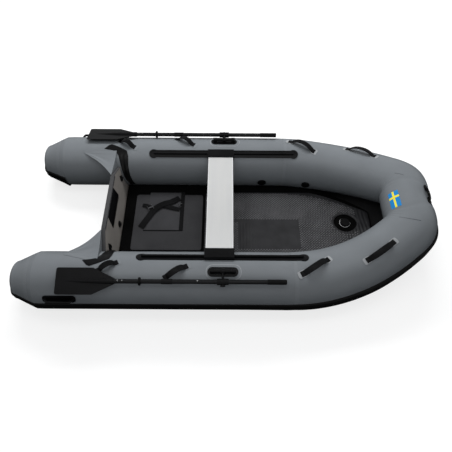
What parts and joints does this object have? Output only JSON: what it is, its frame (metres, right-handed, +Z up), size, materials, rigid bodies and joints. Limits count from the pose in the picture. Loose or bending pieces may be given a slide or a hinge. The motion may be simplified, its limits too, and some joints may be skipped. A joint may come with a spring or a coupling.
{
  "type": "inflatable tender boat",
  "caption": "Inflatable tender with conical sterns, rising bow, air floor, transom for an outboard, sliding bench and oars stowed in rowlocks.",
  "frame": {"origin": "on the floor, under the middle of the hull's length and beam", "axes": "+X forward to the bow, +Y to port, +Z up"},
  "size_m": [3.0212, 1.544, 0.517],
  "materials": {
    "tube_fabric": "satin coated fabric",
    "strake_rubber": "matt ribbed rubber",
    "bottom_fabric": "satin coated fabric",
    "floor_fabric": "satin coated fabric",
    "foam_pad": "matt textured foam",
    "webbing": "woven webbing",
    "black_fabric": "coated fabric",
    "transom_panel": "satin laminate",
    "bench_aluminium": "anodised, fine ribs",
    "oar_tube": "black anodised tube",
    "soft_rubber": "soft matt rubber",
    "stainless": "polished",
    "black_plastic": "moulded plastic"
  },
  "bodies": {
    "hull": {"air_floor": "floor_fabric", "bow_grab": "black_plastic", "carry_handles_port": "webbing", "carry_handles_starboard": "webbing", "cone_port": "tube_fabric", "cone_starboard": "tube_fabric", "drain_bung": "black_plastic", "floor_pad_aft": "foam_pad", "floor_pad_fore": "foam_pad", "floor_pouch": "black_fabric", "floor_valve": "black_plastic", "hull_bottom": "bottom_fabric", "keel_guard": "strake_rubber", "motor_pad_inner": "black_plastic", "motor_pad_outer": "black_plastic", "rowlock_base_port": "black_plastic", "rowlock_base_starboard": "black_plastic", "seat_rail_port": "black_plastic", "seat_rail_starboard": "black_plastic", "stern_grab_port": "black_plastic", "stern_grab_starboard": "black_plastic", "strake_bow": "strake_rubber", "strake_cone_port": "strake_rubber", "strake_cone_starboard": "strake_rubber", "strake_port": "strake_rubber", "strake_starboard": "strake_rubber", "tank_strap": "webbing", "tow_ring_port": "stainless", "tow_ring_starboard": "stainless", "transom_board": "transom_panel", "transom_eyes": "black_plastic", "transom_gusset_port": "tube_fabric", "transom_gusset_starboard": "tube_fabric", "transom_holder_port": "black_fabric", "transom_holder_starboard": "black_fabric", "transom_trim": "black_plastic", "tube_bow": "tube_fabric", "tube_port": "tube_fabric", "tube_starboard": "tube_fabric", "tube_valves": "black_plastic"},
    "bench": {"bench_plank": "bench_aluminium", "bench_cap_port": "black_plastic", "bench_cap_starboard": "black_plastic"},
    "oar_port": {"oar_blade_port": "black_plastic", "oar_collar_port": "black_plastic", "oar_drip_ring_port": "soft_rubber", "oar_grip_port": "soft_rubber", "oar_shaft_port": "oar_tube", "rowlock_pin_port": "black_plastic"},
    "oar_starboard": {"oar_blade_starboard": "black_plastic", "oar_collar_starboard": "black_plastic", "oar_drip_ring_starboard": "soft_rubber", "oar_grip_starboard": "soft_rubber", "oar_shaft_starboard": "oar_tube", "rowlock_pin_starboard": "black_plastic"}
  },
  "joints": [
    {"name": "bench_slide", "type": "slide", "parent": "hull", "child": "bench", "axis": [1, 0, 0], "range_m": [-0.4, 0.45]},
    {"name": "oar_port_tilt", "type": "hinge", "parent": "hull", "child": "oar_port", "pos_m": [-0.02477, 0.59284, 0.41068], "axis": [1, 0, 0], "range_deg": [0, 107.1]},
    {"name": "oar_starboard_tilt", "type": "hinge", "parent": "hull", "child": "oar_starboard", "pos_m": [-0.02477, -0.59284, 0.41068], "axis": [-1, 0, 0], "range_deg": [0, 107.1]}
  ]
}
